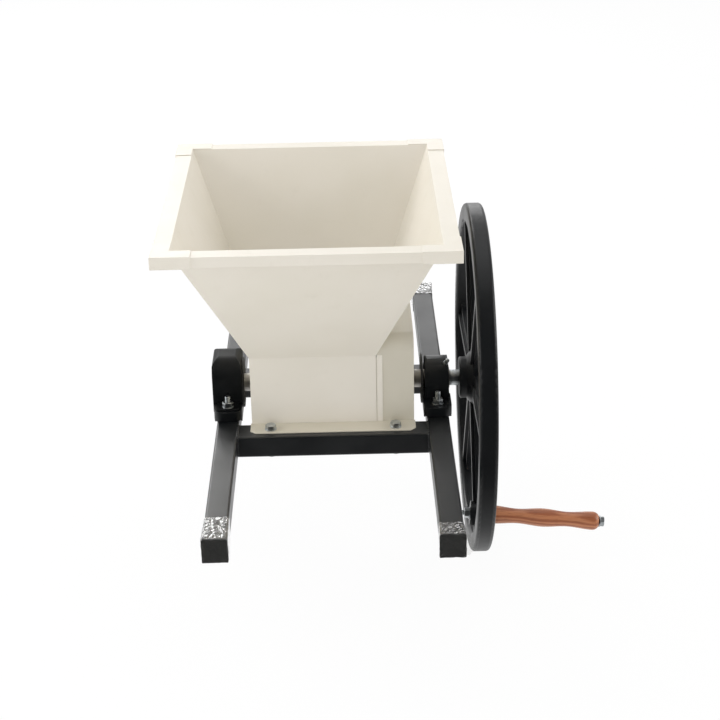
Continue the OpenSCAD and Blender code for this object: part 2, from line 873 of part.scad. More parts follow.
// The guard as a full body, smaller by inset on every side but below
module guard_body(inset, low) {
    intersection() {
        along_x(-guard_out + inset, -guard_in - inset)
            arch(guard_half - inset, guard_r - inset, low, guard_top - inset);
        translate([-(guard_out + guard_in) / 2, 0, 0]) along_y(-guard_half - 1, guard_half + 1)
            arch((guard_out - guard_in) / 2 + 1 - inset, guard_round - inset, low - 1,
                guard_top + 1 - inset);
    }
}

// Moulded guard that closes the left bearing and the end of the shaft
module bearing_guard() {
    slot = shaft_d + 7;
    color(black) difference() {
        union() {
            guard_body(0, foot_top);
            along_x(-guard_out, -guard_out + guard_wall - fit)
                translate([-guard_half, rail_top + 2]) square([2 * guard_half, foot_t]);
            for (s = [-1, 1]) translate([-rail_x, s * (guard_half + 11), foot_top])
                linear_extrude(guard_wall) rounded(foot_w - 6, 26, 5);
        }
        guard_body(guard_wall, 0);
        translate([0, 0, axis_z]) rod_x(-guard_in - 2 * guard_wall, -guard_in + past, slot);
        translate([-guard_in - 2 * guard_wall, -slot / 2, 0])
            cube([3 * guard_wall, slot, axis_z]);
        at_block_bolts() cylinder(d = block_bolt_d + 1, h = guard_top);
    }
}

// Turned shaft: journals at both ends, keyway under the flywheel, drilled for the drum pins
module shaft() {
    shoulder = rail_x - ring_in - fit;
    left_end = rail_x + ring_out - gap;
    color(steel) translate([0, 0, axis_z]) difference() {
        union() {
            rod_x(-shoulder, shoulder, shaft_d);
            rod_x(-left_end, hub_out - gap, journal_d);
        }
        translate([wheel_x - key_len / 2 - fit, -key_w / 2 - fit, journal_d / 2 - 3])
            cube([key_len + 2 * fit, key_w + 2 * fit, 10]);
        rod_x(hub_out - 26, hub_out + past, end_bolt_d + 2 * fit);
        for (s = [-1, 1]) translate([s * pin_x, 0, -drum_d / 2])
            cylinder(d = drum_pin_d + 2 * fit, h = drum_d);
    }
}

// Steel tube of the drum, slotted for the toothed bars
module drum_tube() {
    color(steel) translate([0, 0, axis_z]) difference() {
        rod_x(-drum_len / 2, drum_len / 2, drum_d);
        rod_x(-drum_len, drum_len, drum_d - 2 * drum_wall);
        for (k = [0 : bar_n - 1]) rotate([360 / bar_n * k, 0, 0])
            translate([-bar_len / 2 - fit, -bar_t / 2 - fit, 0])
                cube([bar_len + 2 * fit, bar_t + 2 * fit, drum_d]);
    }
}

bar_len = tooth_span + tooth_root + 3;
pin_x = drum_len / 2 - disc_t - (disc_hub_len - disc_t) / 2;

// End discs with their hubs, pinned to the shaft
module drum_end_discs() {
    color(steel) for (s = [0, 1]) mirror([s, 0, 0]) translate([0, 0, axis_z]) difference() {
        union() {
            rod_x(drum_len / 2 - disc_t, drum_len / 2, drum_d - 2 * drum_wall - 2 * fit);
            rod_x(drum_len / 2 - disc_hub_len, drum_len / 2, disc_hub_d);
        }
        rod_x(0, drum_len, shaft_d + 2 * fit);
        translate([pin_x, 0, -drum_d / 2]) cylinder(d = drum_pin_d + 2 * fit, h = drum_d);
        for (a = [0 : 60 : 300]) rotate([a + 30, 0, 0])
            translate([drum_len / 2 - disc_t - past, 0, (disc_hub_d + drum_d) / 4 - 2])
                rod_x(0, disc_t + 2 * past, 9);
    }
}

module drum_pins() {
    color(zinc) for (s = [-1, 1])
        translate([s * pin_x, 0, axis_z - disc_hub_d / 2]) cylinder(d = drum_pin_d, h = disc_hub_d);
}

// Outline of one toothed bar: X along the drum, Y outwards from the axis
function tooth(x) = [[x - tooth_root / 2, ridge_r], [x - tooth_tip / 2, tip_r],
    [x + tooth_tip / 2, tip_r], [x + tooth_root / 2, ridge_r]];
module bar_outline() {
    inner = drum_d / 2 - drum_wall;
    polygon(concat([[-bar_len / 2, inner], [-bar_len / 2, ridge_r]],
        [for (k = [0 : tooth_n - 1]) each tooth(-tooth_span / 2 + k * tooth_pitch)],
        [[bar_len / 2, ridge_r], [bar_len / 2, inner]]));
}

module blade_bars() {
    color(zinc) translate([0, 0, axis_z]) for (k = [0 : bar_n - 1])
        rotate([360 / bar_n * k, 0, 0]) along_y(-bar_t / 2, bar_t / 2) bar_outline();
}

module slinger_discs() {
    color(black) for (s = [-1, 1]) translate([s * slinger_x, 0, axis_z]) difference() {
        rod_x(-slinger_t / 2, slinger_t / 2, slinger_d);
        rod_x(-slinger_t, slinger_t, shaft_d + 2 * fit);
    }
}

module hub_spacer() {
    color(zinc) translate([0, 0, axis_z]) difference() {
        rod_x(rail_x + ring_out + fit, hub_in - fit, spacer_d);
        rod_x(rail_x, hub_in + past, journal_d + 2 * fit);
    }
}

// Half width of a spoke at a distance from the shaft: slim in the middle, flared where it
// runs into hub and rim
function spoke_half(r) = spoke_w / 2 + 10 * exp(-(r - hub_d / 2) / 16)
    + 9 * exp(-(rim_in_r - r) / 9);
spoke_in = hub_d / 2 - 4;
spoke_out = rim_in_r + 3;
spoke_steps = 22;
function spoke_r(k) = spoke_in + (spoke_out - spoke_in) * k / spoke_steps;

// Flat web of one spoke, drawn outwards along +X
module spoke_web_outline() {
    polygon(concat([for (k = [0 : spoke_steps]) [spoke_r(k), spoke_half(spoke_r(k))]],
        [for (k = [spoke_steps : -1 : 0]) [spoke_r(k), -spoke_half(spoke_r(k))]]));
}

// Half section of the hub: chamfered ends, and a cone on each side of its disc
module hub_outline() {
    r = hub_d / 2;
    disc = spoke_web / 2 + 1;
    end = hub_len / 2;
    polygon([[0, -end], [r - 2, -end], [r, -end + 2], [r, -disc - hub_cone], [r + 10, -disc],
        [r + 10, disc], [r, disc + hub_cone], [r, end - 2], [r - 2, end], [0, end]]);
}

// Turns its children from the wheel's own plane to the machine: the wheel's axis lies
// along X and its first spoke points to the handle
module on_wheel() {
    translate([wheel_x, 0, axis_z]) rotate([crank_angle, 0, 0]) rotate([90, 0, 90]) children();
}

// Moves its children to the handle's root, with Z along the leaning handle bolt
module at_handle() {
    on_wheel() translate([crank_r, 0, 0]) rotate([0, handle_lean, 0]) children();
}

// Cast flywheel: rim, ribbed spokes, hub and the boss for the handle in one piece
module flywheel() {
    color(cast_black) difference() {
        union() {
            on_wheel() {
                rotate_extrude($fn = 128) translate([wheel_r - rim_depth / 2, 0])
                    rounded(rim_depth, rim_w, rim_round);
                for (k = [0 : spoke_n - 1]) rotate(360 / spoke_n * k) {
                    translate([0, 0, -spoke_web / 2]) linear_extrude(spoke_web) spoke_web_outline();
                    translate([spoke_in, -rib_w / 2, -rib_t / 2])
                        cube([spoke_out - spoke_in, rib_w, rib_t]);
                }
                rotate_extrude() hub_outline();
            }
            at_handle() cylinder(d = boss_d, h = boss_len, center = true);
        }
        on_wheel() cylinder(d = journal_d + 2 * fit, h = 2 * hub_len, center = true);
        translate([hub_in - past, -key_w / 2 - fit, axis_z])
            cube([hub_len + 2 * past, key_w + 2 * fit, journal_d / 2 + 2.3]);
        at_handle() cylinder(d = handle_bolt_d + 2 * fit, h = 2 * boss_len, center = true);
    }
}

module flywheel_key() {
    color(zinc) translate([wheel_x - key_len / 2, -key_w / 2, axis_z + journal_d / 2 - 2.95])
        cube([key_len, key_w, 5.2]);
}

module hub_end_washer() {
    color(zinc) translate([0, 0, axis_z]) difference() {
        rod_x(hub_out + fit, hub_out + end_washer_t, end_washer_d);
        rod_x(hub_out - past, hub_out + end_washer_t + past, end_bolt_d + 0.5);
    }
}

module hub_end_bolt() {
    color(zinc) translate([hub_out + end_washer_t + fit, 0, axis_z]) rotate([0, 90, 0])
        hex_bolt(end_bolt_d, 25);
}

module handle_bolt() {
    color(zinc) at_handle() translate([0, 0, grip_end + gap + washer_t])
        hex_bolt(handle_bolt_d, grip_end + gap + 2 * washer_t + boss_len / 2 + 0.8 * handle_bolt_d + 3);
}

module handle_nut() {
    color(zinc) at_handle() translate([0, 0, -boss_len / 2 - washer_t]) mirror([0, 0, 1])
        hex_nut(handle_bolt_d);
}

// Three washers: under the nut, and at each end of the grip
module handle_washers() {
    color(zinc) at_handle() for (z = [-boss_len / 2 - washer_t, boss_len / 2, grip_end + gap])
        translate([0, 0, z]) washer(handle_bolt_d);
}

// Turned wooden grip: swelling, waist, swelling, waist and round knob
function grip_half(u) = grip_d / 2 * (0.9 + 0.1 * cos(720 * (u - 0.02)));
grip_steps = 40;
grip_nose = 9;
module handle_grip() {
    body = grip_len - grip_nose;
    color(wood) at_handle() translate([0, 0, grip_start]) difference() {
        rotate_extrude() polygon(concat([[0, 0], [grip_half(0) - 1.5, 0], [grip_half(0), 1.5]],
            [for (k = [1 : grip_steps]) [grip_half(k / grip_steps * 1.02), 1.5 + (body - 1.5) * k / grip_steps]],
            [for (a = [10 : 10 : 70]) [5 + (grip_half(1.02) - 5) * cos(a), body + grip_nose * sin(a)]],
            [[5.5, grip_len], [0, grip_len]]));
        translate([0, 0, -past]) cylinder(d = handle_bolt_d + 2 * run, h = grip_len + 2 * past);
    }
}

rail_left();
rail_right();
cross_tube_front();
cross_tube_rear();
rail_end_caps();
housing_front_plate();
housing_rear_plate();
housing_side_left();
housing_side_right();
chamber_cover();
hopper_front_panel();
hopper_rear_panel();
hopper_left_wall();
hopper_right_wall();
throat_edge_strips();
rim_corner_caps();
feed_deflector();
breaker_comb();
comb_screws();
housing_bolts();
housing_washers();
housing_nuts();
bearing_block_left();
bearing_block_right();
bearing_outer_rings();
bearing_balls_left();
bearing_balls_right();
bearing_cage_left();
bearing_cage_right();
bearing_shields();
bearing_inner_rings();
bearing_set_screws();
grease_nipples();
block_bolts();
block_washers();
block_nuts();
bearing_guard();
shaft();
drum_tube();
drum_end_discs();
drum_pins();
blade_bars();
slinger_discs();
hub_spacer();
flywheel();
flywheel_key();
hub_end_washer();
hub_end_bolt();
handle_bolt();
handle_nut();
handle_washers();
handle_grip();
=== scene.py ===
import math

import bmesh
import bpy
from mathutils import Matrix, Vector


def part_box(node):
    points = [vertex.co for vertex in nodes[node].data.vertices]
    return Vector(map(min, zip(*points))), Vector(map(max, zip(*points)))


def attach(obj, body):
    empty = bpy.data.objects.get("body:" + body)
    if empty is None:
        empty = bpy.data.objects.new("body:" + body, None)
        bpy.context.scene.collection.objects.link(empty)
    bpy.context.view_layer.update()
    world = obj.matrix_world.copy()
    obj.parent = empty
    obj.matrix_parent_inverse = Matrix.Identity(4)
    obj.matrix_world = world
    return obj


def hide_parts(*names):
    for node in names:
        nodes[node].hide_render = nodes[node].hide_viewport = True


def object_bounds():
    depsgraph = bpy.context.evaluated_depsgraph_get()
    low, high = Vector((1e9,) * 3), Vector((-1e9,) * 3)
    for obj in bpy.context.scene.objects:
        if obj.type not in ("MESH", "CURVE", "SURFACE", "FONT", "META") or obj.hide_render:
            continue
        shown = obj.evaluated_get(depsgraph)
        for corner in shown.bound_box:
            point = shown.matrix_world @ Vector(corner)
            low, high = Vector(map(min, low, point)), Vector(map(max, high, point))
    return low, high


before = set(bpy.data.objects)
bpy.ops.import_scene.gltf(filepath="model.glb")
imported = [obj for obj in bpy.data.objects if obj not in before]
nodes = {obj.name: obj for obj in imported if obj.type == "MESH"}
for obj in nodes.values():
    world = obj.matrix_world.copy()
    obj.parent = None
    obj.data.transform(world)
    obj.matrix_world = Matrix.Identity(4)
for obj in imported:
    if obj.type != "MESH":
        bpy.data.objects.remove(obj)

cad_box = [list(corner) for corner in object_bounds()]
scene = bpy.context.scene
scene.view_settings.view_transform = "Standard"


# Camera
# A long lens straight before the crusher, looking down by 25 degrees and rolled by about one,
# as worked out from the rails, the wheel and the hopper's rim.
camera = bpy.data.objects.new("camera", bpy.data.cameras.new("camera"))
scene.collection.objects.link(camera)
camera.data.lens = 85.313
camera.data.sensor_width = 36
camera.data.clip_end = 30
stand = Vector((0.022479, -2.145532, 1.090287))
look = Vector((0.00687, 0.90632, -0.42254))
level = Vector((0.99997, -0.00758, 0)).normalized()
lift = level.cross(look).normalized()
roll = math.radians(-1.122)
side = math.cos(roll) * level + math.sin(roll) * lift
top = -math.sin(roll) * level + math.cos(roll) * lift
camera.matrix_world = Matrix((
    (side.x, top.x, -look.x, stand.x),
    (side.y, top.y, -look.y, stand.y),
    (side.z, top.z, -look.z, stand.z),
    (0, 0, 0, 1)))
scene.camera = camera


# Studio
# A pale floor just under the wheel and a white surround that is bright behind the crusher and
# dim on the camera's side. Soft lamps stand overhead, behind, at both sides and in front.
def linear(code):
    """A colour written as #rrggbb, as the linear values that a shader wants."""
    parts = [int(code[i:i + 2], 16) / 255 for i in (1, 3, 5)]
    return (*[c / 12.92 if c <= 0.04045 else ((c + 0.055) / 1.055) ** 2.4 for c in parts], 1.0)


def add(tree, kind, inputs=None, **settings):
    """A shader node with its settings, and its inputs as values or as sockets to link.

    A Mix node's inputs go by number: 0 is the factor, 2 and 3 are numbers, 4 and 5 vectors
    and 6 and 7 colours.
    """
    node = tree.nodes.new("ShaderNode" + kind)
    for key, value in settings.items():
        setattr(node, key, value)
    for key, value in (inputs or {}).items():
        if isinstance(value, bpy.types.NodeSocket):
            tree.links.new(value, node.inputs[key])
        else:
            node.inputs[key].default_value = value
    return node


def new_material(name):
    """An empty material and its node tree."""
    material = bpy.data.materials.new(name)
    material.use_nodes = True
    material.node_tree.nodes.clear()
    return material, material.node_tree


# how bright the surround looks in black paint, before and behind the crusher; the floor behind
# is mirrored as white
front_glow, rear_glow = 0.05, 0.65
# the crusher hangs on its rails over a vat, so the floor lies a little under the wheel
floor_z = cad_box[0][2] - 0.0042

world = bpy.data.worlds.new("studio")
scene.world = world
world.use_nodes = True
sky = world.node_tree
sky.nodes.clear()
ray = add(sky, "LightPath")
shown = add(sky, "Math", {0: ray.outputs["Is Camera Ray"],
                          1: ray.outputs["Is Transmission Ray"]}, operation="MAXIMUM")
place = add(sky, "TexCoord")
way = add(sky, "SeparateXYZ", {"Vector": place.outputs["Generated"]})
# what gloss mirrors and what falls on the crusher, from the front (-1) to the rear (1)
rear = add(sky, "MapRange", {"Value": way.outputs["Y"], "From Min": -0.45, "From Max": 0.65,
                             "To Min": front_glow, "To Max": rear_glow})
soft_fill = add(sky, "MapRange", {"Value": way.outputs["Y"], "From Min": -1.0, "From Max": 1.0,
                                  "To Min": 0.45, "To Max": 0.78})
unlit = add(sky, "Mix", {0: ray.outputs["Is Glossy Ray"], 2: soft_fill.outputs[0],
                         3: rear.outputs[0]}, data_type="FLOAT")
strength = add(sky, "Mix", {0: shown.outputs[0], 2: unlit.outputs[0], 3: 1.0},
               data_type="FLOAT")
white = add(sky, "Background", {"Color": (1, 1, 1, 1), "Strength": strength.outputs[0]})
add(sky, "OutputWorld", {"Surface": white.outputs[0]})

bpy.ops.mesh.primitive_plane_add(size=60, location=(0, 0, floor_z))
floor = bpy.context.object
floor.name = "floor"
material, tree = new_material("studio_floor")
ray = add(tree, "LightPath")
paper = add(tree, "BsdfDiffuse", {"Color": linear("#fafafa")})
glow = add(tree, "Emission", {"Color": (1, 1, 1, 1), "Strength": 1.0})
dim = add(tree, "MixShader", {0: 0.94, 1: paper.outputs[0], 2: glow.outputs[0]})
place = add(tree, "TexCoord")
way = add(tree, "SeparateXYZ", {"Vector": place.outputs["Object"]})
# gloss mirrors the floor as dim in front of the crusher and white from its middle on
rear = add(tree, "MapRange", {"Value": way.outputs["Y"], "From Min": -0.45, "From Max": -0.05,
                              "To Min": front_glow, "To Max": 1.0})
mirrored = add(tree, "Emission", {"Color": (1, 1, 1, 1), "Strength": rear.outputs[0]})
shown = add(tree, "MixShader", {0: ray.outputs["Is Camera Ray"], 1: paper.outputs[0],
                                2: dim.outputs[0]})
ground = add(tree, "MixShader", {0: ray.outputs["Is Glossy Ray"], 1: shown.outputs[0],
                                 2: mirrored.outputs[0]})
add(tree, "OutputMaterial", {"Surface": ground.outputs[0]})
floor.data.materials.append(material)


def lamp(name, place, aim, size, power, mirrored=True):
    """A square soft lamp that points at a place; mirrored says whether gloss shows it."""
    light = bpy.data.lights.new(name, "AREA")
    light.shape, light.size, light.energy = "SQUARE", size, power
    thing = bpy.data.objects.new(name, light)
    scene.collection.objects.link(thing)
    thing.location = place
    thing.rotation_euler = (Vector(aim) - Vector(place)).to_track_quat("-Z", "Y").to_euler()
    thing.visible_camera = False
    thing.visible_glossy = mirrored


# places, aims and sizes in metres and power in watts; gloss doesn't show the two in front
lamp("overhead_softbox", (0.1, 0.5, 2.3), (0, 0, 0.2), 1.6, 5.5)
lamp("rear_softbox", (-1.25, 2.8, 1.9), (0, 0, 0.1), 1.8, 44)
lamp("low_rear_softbox", (0.35, 3.0, 0.85), (0, 0, 0.1), 0.7, 4)
lamp("left_softbox", (-2.4, -0.3, 1.1), (0, 0, 0.2), 1.3, 21)
lamp("right_softbox", (2.4, -0.1, 1.0), (0, 0, 0.2), 1.2, 18)
lamp("low_front_softbox", (-0.4, -2.7, 0.25), (0, 0, 0.15), 1.2, 9.5, False)
lamp("high_front_softbox", (-0.6, -2.5, 1.7), (0, 0, 0.2), 1.0, 8, False)


# Rails and cross tubes
# Four lengths of square and rectangular steel tube, welded into a frame and sprayed with
# black enamel. The paint is satin, slightly wavy from spraying, and dulled by handling.
def dress(names, material):
    """Gives CAD nodes their material."""
    for name in names:
        nodes[name].data.materials.clear()
        nodes[name].data.materials.append(material)


enamel, tree = new_material("satin_black_enamel_on_steel_tube")
place = add(tree, "TexCoord")
# handling marks and dust a hand's width across
marks = add(tree, "TexNoise", {"Vector": place.outputs["Object"], "Scale": 16, "Detail": 6,
                               "Roughness": 0.62})
tone = add(tree, "ValToRGB", {"Fac": marks.outputs["Fac"]})
tone.color_ramp.elements[0].position = 0.35
tone.color_ramp.elements[0].color = linear("#141618")
tone.color_ramp.elements[1].position = 0.72
tone.color_ramp.elements[1].color = linear("#1d1f20")
gloss = add(tree, "MapRange", {"Value": marks.outputs["Fac"], "From Min": 0.3, "From Max": 0.7,
                               "To Min": 0.3, "To Max": 0.42})
# orange peel of the sprayed paint, about 1.5 mm across
peel = add(tree, "TexNoise", {"Vector": place.outputs["Object"], "Scale": 650, "Detail": 2})
bump = add(tree, "Bump", {"Height": peel.outputs["Fac"], "Strength": 0.12, "Distance": 0.0003})
paint = add(tree, "BsdfPrincipled", {"Base Color": tone.outputs["Color"],
            "Roughness": gloss.outputs[0], "Normal": bump.outputs[0], "IOR": 1.5,
            "Specular IOR Level": 0.65})
add(tree, "OutputMaterial", {"Surface": paint.outputs[0]})
dress(["rail_left", "rail_right", "cross_tube_front", "cross_tube_rear"], enamel)


# Welds of the frame
# Beads run by hand where a cross tube meets a rail: across the top and down both sides.
# They are lumpy, ripple by ripple, and lie under the same black enamel.
def start_mesh():
    """Leaves edit mode and deselects everything, so that an operator meets only its own piece."""
    if bpy.context.object and bpy.context.object.mode != "OBJECT":
        bpy.ops.object.mode_set(mode="OBJECT")
    bpy.ops.object.select_all(action="DESELECT")


def join(name, pieces):
    """One piece of several, with its place in its mesh."""
    start_mesh()
    for piece in pieces:
        piece.select_set(True)
    bpy.context.view_layer.objects.active = pieces[0]
    if len(pieces) > 1:
        bpy.ops.object.join()
    piece = bpy.context.object
    piece.name = piece.data.name = name
    bpy.ops.object.transform_apply(location=True, rotation=True, scale=True)
    return piece


def bead(start, end, width, seed, step=0.0022, overlap=1.15):
    """A weld bead from start to end: flattened lumps, a step apart, that overlap like coins."""
    start, end = Vector(start), Vector(end)
    run = end - start
    count = max(2, int(run.length / step))
    lumps = []
    for k in range(count):
        # two waves out of step, so that each lump is shifted and swollen in its own way
        wobble = 0.12 * math.sin(2.1 * k + seed) + 0.08 * math.sin(5.3 * k + 2 * seed)
        radius = width * (0.5 + 0.5 * wobble)
        start_mesh()
        bpy.ops.mesh.primitive_uv_sphere_add(segments=10, ring_count=6, radius=1,
            location=start + run * ((k + 0.5 + wobble) / count))
        lump = bpy.context.object
        lump.rotation_mode = "QUATERNION"
        lump.rotation_quaternion = run.to_track_quat("Z", "X")
        lump.scale = (radius, radius, step * overlap)
        lumps.append(lump)
    return lumps


# a bead's middle lies just under the tube's faces, and it stops short of the tube's corners
tube_low, tube_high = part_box("cross_tube_rear")
sink, bead_width = 0.0003, 0.004
corner_gap, foot_gap, head_gap = 0.0035, 0.003, 0.0015
lumps = []
for sx in (-1, 1):
    x = sx * tube_high.x
    for sy in (-1, 1):
        for edge_y in (tube_low.y + sink, tube_high.y - sink):
            lumps += bead((x, sy * edge_y, tube_low.z + foot_gap),
                          (x, sy * edge_y, tube_high.z - head_gap),
                          bead_width, edge_y * 900 + sx)
        lumps += bead((x, sy * (tube_low.y + corner_gap), tube_high.z - sink),
                      (x, sy * (tube_high.y - corner_gap), tube_high.z - sink),
                      bead_width, sy + 3 * sx)
welds = join("frame_welds", lumps)
# the lumps fuse into one skin, at a grain of 0.5 mm
fused = welds.modifiers.new("fused", "REMESH")
fused.mode, fused.voxel_size, fused.use_smooth_shade = "VOXEL", 0.0005, True
bpy.ops.object.modifier_apply(modifier="fused")
welds.data.materials.append(enamel)
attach(welds, "frame")


# End caps
# Moulded polyethylene caps with a shallow pyramid on the face, pushed into the tubes.
# The mould leaves them matt, with a faint grain and slow changes of tone.
def soften(node, width, angle=35):
    """Rounds the sharp edges of a CAD node a little, as bending, casting or paint leaves them."""
    piece = nodes[node]
    weld = piece.modifiers.new("join_triangles", "WELD")
    weld.merge_threshold = 0.000002  # a CAD node's triangles are loose
    flat = piece.modifiers.new("flat_faces", "DECIMATE")
    flat.decimate_type = "DISSOLVE"
    flat.angle_limit = math.radians(0.4)
    edge = piece.modifiers.new("edges", "BEVEL")
    edge.width = width
    edge.segments = 3
    edge.limit_method = "ANGLE"
    edge.angle_limit = math.radians(angle)
    edge.harden_normals = True
    edge.use_clamp_overlap = True


plastic, tree = new_material("moulded_black_polyethylene")
place = add(tree, "TexCoord")
# grain of the mould, about 1 mm across, and tones that change over some 15 mm
grain = add(tree, "TexNoise", {"Vector": place.outputs["Object"], "Scale": 900, "Detail": 3})
bump = add(tree, "Bump", {"Height": grain.outputs["Fac"], "Strength": 0.2, "Distance": 0.0002})
haze = add(tree, "TexNoise", {"Vector": place.outputs["Object"], "Scale": 60, "Detail": 4})
tone = add(tree, "ValToRGB", {"Fac": haze.outputs["Fac"]})
tone.color_ramp.elements[0].position = 0.3
tone.color_ramp.elements[0].color = linear("#1a1b1b")
tone.color_ramp.elements[1].position = 0.75
tone.color_ramp.elements[1].color = linear("#262724")
body = add(tree, "BsdfPrincipled", {"Base Color": tone.outputs["Color"], "Roughness": 0.42,
                                    "Normal": bump.outputs[0], "IOR": 1.5})
add(tree, "OutputMaterial", {"Surface": body.outputs[0]})
soften("rail_end_caps", 0.0004, 8)
dress(["rail_end_caps"], plastic)


# Packing film at the rails' ends
# Clear polyethylene film still wrapped round the four rail ends and over their caps. It is
# drawn tight on the tube and crinkled all over, and one corner of it has come loose.
film, tree = new_material("clear_crinkled_polyethylene_film")
place = add(tree, "TexCoord")
# creases about 8 mm apart and ripples of 6 mm between them, coarser than the real ones
crease = add(tree, "TexVoronoi", {"Vector": place.outputs["Object"], "Scale": 130,
                                  "Randomness": 1.0}, feature="DISTANCE_TO_EDGE")
ripple = add(tree, "TexNoise", {"Vector": place.outputs["Object"], "Scale": 170, "Detail": 2})
bump = add(tree, "Bump", {"Height": crease.outputs["Distance"], "Strength": 0.7,
                          "Distance": 0.0026})
bump = add(tree, "Bump", {"Height": ripple.outputs["Fac"], "Strength": 0.45, "Distance": 0.0012,
                          "Normal": bump.outputs[0]})
clear = add(tree, "BsdfTransparent", {"Color": linear("#fbfbfa")})
haze = add(tree, "BsdfDiffuse", {"Color": linear("#e6e5df"), "Normal": bump.outputs[0]})
body = add(tree, "MixShader", {0: 0.025, 1: clear.outputs[0], 2: haze.outputs[0]})
sheen = add(tree, "BsdfAnisotropic", {"Color": (1, 1, 1, 1), "Roughness": 0.22,
                                      "Normal": bump.outputs[0]})
# the film lies in several skins, so it shines 2.6 times as much as one surface does
angle = add(tree, "Fresnel", {"IOR": 1.5, "Normal": bump.outputs[0]})
shine = add(tree, "Math", {0: angle.outputs[0], 1: 2.6}, operation="MULTIPLY", use_clamp=True)
skin = add(tree, "MixShader", {0: shine.outputs[0], 1: body.outputs[0], 2: sheen.outputs[0]})
add(tree, "OutputMaterial", {"Surface": skin.outputs[0]})


def choose(piece, kind, test):
    """In edit mode, selects just the faces or corners that lie wholly where a test says."""
    bpy.ops.mesh.select_all(action="DESELECT")
    bpy.ops.mesh.select_mode(type=kind)
    mesh = bmesh.from_edit_mesh(piece.data)
    for item in mesh.verts if kind == "VERT" else mesh.faces:
        corners = [item] if kind == "VERT" else item.verts
        if all(test(v.co) for v in corners):
            item.select_set(True)
    mesh.select_flush(True)
    bmesh.update_edit_mesh(piece.data)


def crumple(piece, grain, depth, seed):
    """Folds a piece by soft clouds of a grain and depth; the seed shifts it through them."""
    clouds = bpy.data.textures.new("clouds_" + piece.name, "CLOUDS")
    clouds.noise_scale = grain
    clouds.noise_depth = 3
    folds = piece.modifiers.new("crumple", "DISPLACE")
    folds.texture, folds.strength, folds.mid_level = clouds, depth, 0.3
    folds.texture_coords = "GLOBAL"
    piece.location.y += seed
    bpy.ops.object.modifier_apply(modifier="crumple")
    piece.location.y = 0


rail_low, rail_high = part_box("rail_right")
rail_x, rail_mid = (rail_low.x + rail_high.x) / 2, (rail_low.z + rail_high.z) / 2
# the film stands off the cap by a hair, is wider than the rail, and hugs it where it begins
film_gap, film_side, hug, film_cuts = 0.0008, 0.0328, 0.93, 15
fold_grain, fold_depth = 0.009, 0.0016
# how near a place a corner has to be to count as there
near = 0.0001


def wrap(name, x, end, reach):
    """Film round a rail's end: end is the y of its outer face and reach the film's length."""
    start_mesh()
    bpy.ops.mesh.primitive_cube_add(size=1)
    piece = bpy.context.object
    piece.name = name
    out = math.copysign(1, end)
    piece.scale = (film_side, reach, film_side)
    piece.location = (x, end - out * reach / 2, rail_mid)
    bpy.ops.object.transform_apply(location=True, scale=True)
    inner_y = end - out * reach
    bpy.ops.object.mode_set(mode="EDIT")
    choose(piece, "FACE", lambda p: abs(p.y - inner_y) < near)
    bpy.ops.mesh.delete(type="ONLY_FACE")
    choose(piece, "VERT", lambda p: abs(p.y - inner_y) < near)
    bpy.ops.transform.resize(value=(hug, 1, hug))
    bpy.ops.mesh.select_all(action="SELECT")
    bpy.ops.mesh.subdivide(number_cuts=film_cuts)
    choose(piece, "VERT", lambda p: abs(p.y - inner_y) > near)
    bpy.ops.mesh.vertices_smooth(factor=0.5, repeat=2)
    bpy.ops.object.mode_set(mode="OBJECT")
    crumple(piece, fold_grain, fold_depth, 3 * x + end)
    bpy.ops.object.shade_smooth()
    piece.data.materials.append(film)
    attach(piece, "frame")


front_end, rear_end = cad_box[0][1] - film_gap, cad_box[1][1] + film_gap
wrap("film_front_left", -rail_x, front_end, 0.056)
wrap("film_front_right", rail_x, front_end, 0.031)
wrap("film_rear_left", -rail_x, rear_end, 0.048)
wrap("film_rear_right", rail_x, rear_end, 0.044)

# the loose corner beside the front right cap: a flap that narrows in two steps to its free edge
corner_x, corner_z, corner_turn = 0.1652, 0.0155, -14
corner_width, corner_height, corner_in = 0.0105, 0.030, 0.002
half_share, tip_from, tip_share = 0.72, 0.0038, 0.62
corner_grain, corner_depth = 0.006, 0.0036
start_mesh()
bpy.ops.mesh.primitive_grid_add(x_subdivisions=14, y_subdivisions=24, size=1)
corner = bpy.context.object
corner.name = "film_loose_corner"
corner.rotation_euler = (math.radians(90), 0, math.radians(corner_turn))
corner.scale = (corner_width, corner_height, 1)
corner.location = (corner_x, front_end + corner_in, corner_z)
bpy.ops.object.transform_apply(location=True, rotation=True, scale=True)
bpy.ops.object.mode_set(mode="EDIT")
choose(corner, "VERT", lambda p: p.x > corner_x)
bpy.ops.transform.resize(value=(1, 1, half_share))
choose(corner, "VERT", lambda p: p.x > corner_x + tip_from)
bpy.ops.transform.resize(value=(1, 1, tip_share))
bpy.ops.mesh.select_all(action="SELECT")
bpy.ops.mesh.vertices_smooth(factor=0.5, repeat=3)
bpy.ops.object.mode_set(mode="OBJECT")
crumple(corner, corner_grain, corner_depth, 0.7)
bpy.ops.object.shade_smooth()
corner.data.materials.append(film)
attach(corner, "frame")


# Housing and hopper
# Mild steel sheet, 1.5 mm thick, cut, folded and spot welded, then powder coated cream.
# The coat is semi-gloss with a soft orange peel, and its tone drifts a little over the sheet.
cream, tree = new_material("cream_powder_coat_on_sheet_steel")
place = add(tree, "TexCoord")
# slow changes of tone over the sheet, a few hundred millimetres across
slow = add(tree, "TexNoise", {"Vector": place.outputs["Object"], "Scale": 5, "Detail": 3})
tone = add(tree, "ValToRGB", {"Fac": slow.outputs["Fac"]})
tone.color_ramp.elements[0].position = 0.3
tone.color_ramp.elements[0].color = linear("#e5dfd1")
tone.color_ramp.elements[1].position = 0.7
tone.color_ramp.elements[1].color = linear("#ede7dc")
